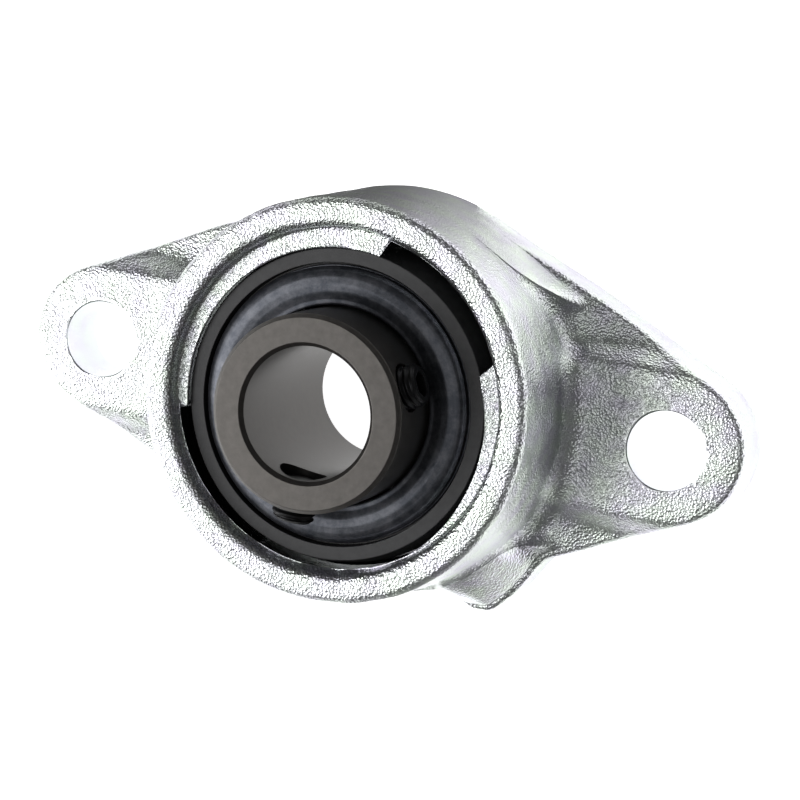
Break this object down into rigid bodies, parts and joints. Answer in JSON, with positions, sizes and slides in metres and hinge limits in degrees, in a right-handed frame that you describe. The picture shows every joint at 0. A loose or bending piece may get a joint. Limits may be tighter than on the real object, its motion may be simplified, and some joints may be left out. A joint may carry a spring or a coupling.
{
  "type": "flange mount bearing",
  "caption": "Oval flange bearing unit: plated cast housing with a self-aligning ball bearing insert, locked to the shaft by set screws.",
  "frame": {"origin": "on the shaft axis, in the plane of the mounting face at the housing's back", "axes": "+Z along the shaft axis, away from the mounting face; +X through the two bolt holes"},
  "size_m": [0.112, 0.0604, 0.0373],
  "materials": {
    "zinc_housing": "rough cast surface with bright zinc plating",
    "dark_ring": "ground and black phosphated bearing steel",
    "polished_ball": "mirror polished bearing steel",
    "graphite": "dull pressed graphite",
    "dark_sheet": "blue-black pressed steel sheet, satin",
    "black_screw": "black oxide alloy steel"
  },
  "bodies": {
    "housing": {"housing": "zinc_housing"},
    "outer_ring": {"outer_ring": "dark_ring", "front_shield": "dark_sheet", "rear_shield": "dark_sheet"},
    "inner_ring": {"inner_ring": "dark_ring", "front_flinger": "dark_sheet", "rear_flinger": "dark_sheet"},
    "cage": {"cage": "graphite"},
    "ball_1": {"ball_1": "polished_ball"},
    "ball_2": {"ball_2": "polished_ball"},
    "ball_3": {"ball_3": "polished_ball"},
    "ball_4": {"ball_4": "polished_ball"},
    "ball_5": {"ball_5": "polished_ball"},
    "ball_6": {"ball_6": "polished_ball"},
    "ball_7": {"ball_7": "polished_ball"},
    "ball_8": {"ball_8": "polished_ball"},
    "set_screw_a": {"set_screw_a": "black_screw"},
    "set_screw_b": {"set_screw_b": "black_screw"}
  },
  "joints": [
    {"name": "insert_swivel", "type": "hinge", "parent": "housing", "child": "outer_ring", "pos_m": [0, 0, 0.019], "axis": [0, 1, 0], "range_deg": [-5, 5]},
    {"name": "inner_spin", "type": "hinge", "parent": "outer_ring", "child": "inner_ring", "pos_m": [0, 0, 0.019], "axis": [0, 0, 1], "continuous": true},
    {"name": "cage_spin", "type": "hinge", "parent": "outer_ring", "child": "cage", "pos_m": [0, 0, 0.019], "axis": [0, 0, 1], "continuous": true},
    {"name": "ball_1_spin", "type": "hinge", "parent": "cage", "child": "ball_1", "pos_m": [0.01547, 0.00641, 0.019], "axis": [0, 0, 1], "continuous": true},
    {"name": "ball_2_spin", "type": "hinge", "parent": "cage", "child": "ball_2", "pos_m": [0.00641, 0.01547, 0.019], "axis": [0, 0, 1], "continuous": true},
    {"name": "ball_3_spin", "type": "hinge", "parent": "cage", "child": "ball_3", "pos_m": [-0.00641, 0.01547, 0.019], "axis": [0, 0, 1], "continuous": true},
    {"name": "ball_4_spin", "type": "hinge", "parent": "cage", "child": "ball_4", "pos_m": [-0.01547, 0.00641, 0.019], "axis": [0, 0, 1], "continuous": true},
    {"name": "ball_5_spin", "type": "hinge", "parent": "cage", "child": "ball_5", "pos_m": [-0.01547, -0.00641, 0.019], "axis": [0, 0, 1], "continuous": true},
    {"name": "ball_6_spin", "type": "hinge", "parent": "cage", "child": "ball_6", "pos_m": [-0.00641, -0.01547, 0.019], "axis": [0, 0, 1], "continuous": true},
    {"name": "ball_7_spin", "type": "hinge", "parent": "cage", "child": "ball_7", "pos_m": [0.00641, -0.01547, 0.019], "axis": [0, 0, 1], "continuous": true},
    {"name": "ball_8_spin", "type": "hinge", "parent": "cage", "child": "ball_8", "pos_m": [0.01547, -0.00641, 0.019], "axis": [0, 0, 1], "continuous": true},
    {"name": "set_screw_a_travel", "type": "slide", "parent": "inner_ring", "child": "set_screw_a", "axis": [0.9135, 0.4067, 0], "range_m": [-0.002, 0.0025]},
    {"name": "set_screw_b_travel", "type": "slide", "parent": "inner_ring", "child": "set_screw_b", "axis": [-0.1045, -0.9945, 0], "range_m": [-0.002, 0.0025]}
  ],
  "couplings": [
    {"joint": "cage_spin", "follows": "inner_spin", "ratio": 0.38152},
    {"joint": "ball_1_spin", "follows": "inner_spin", "ratio": -1.9916},
    {"joint": "ball_2_spin", "follows": "inner_spin", "ratio": -1.9916},
    {"joint": "ball_3_spin", "follows": "inner_spin", "ratio": -1.9916},
    {"joint": "ball_4_spin", "follows": "inner_spin", "ratio": -1.9916},
    {"joint": "ball_5_spin", "follows": "inner_spin", "ratio": -1.9916},
    {"joint": "ball_6_spin", "follows": "inner_spin", "ratio": -1.9916},
    {"joint": "ball_7_spin", "follows": "inner_spin", "ratio": -1.9916},
    {"joint": "ball_8_spin", "follows": "inner_spin", "ratio": -1.9916}
  ]
}
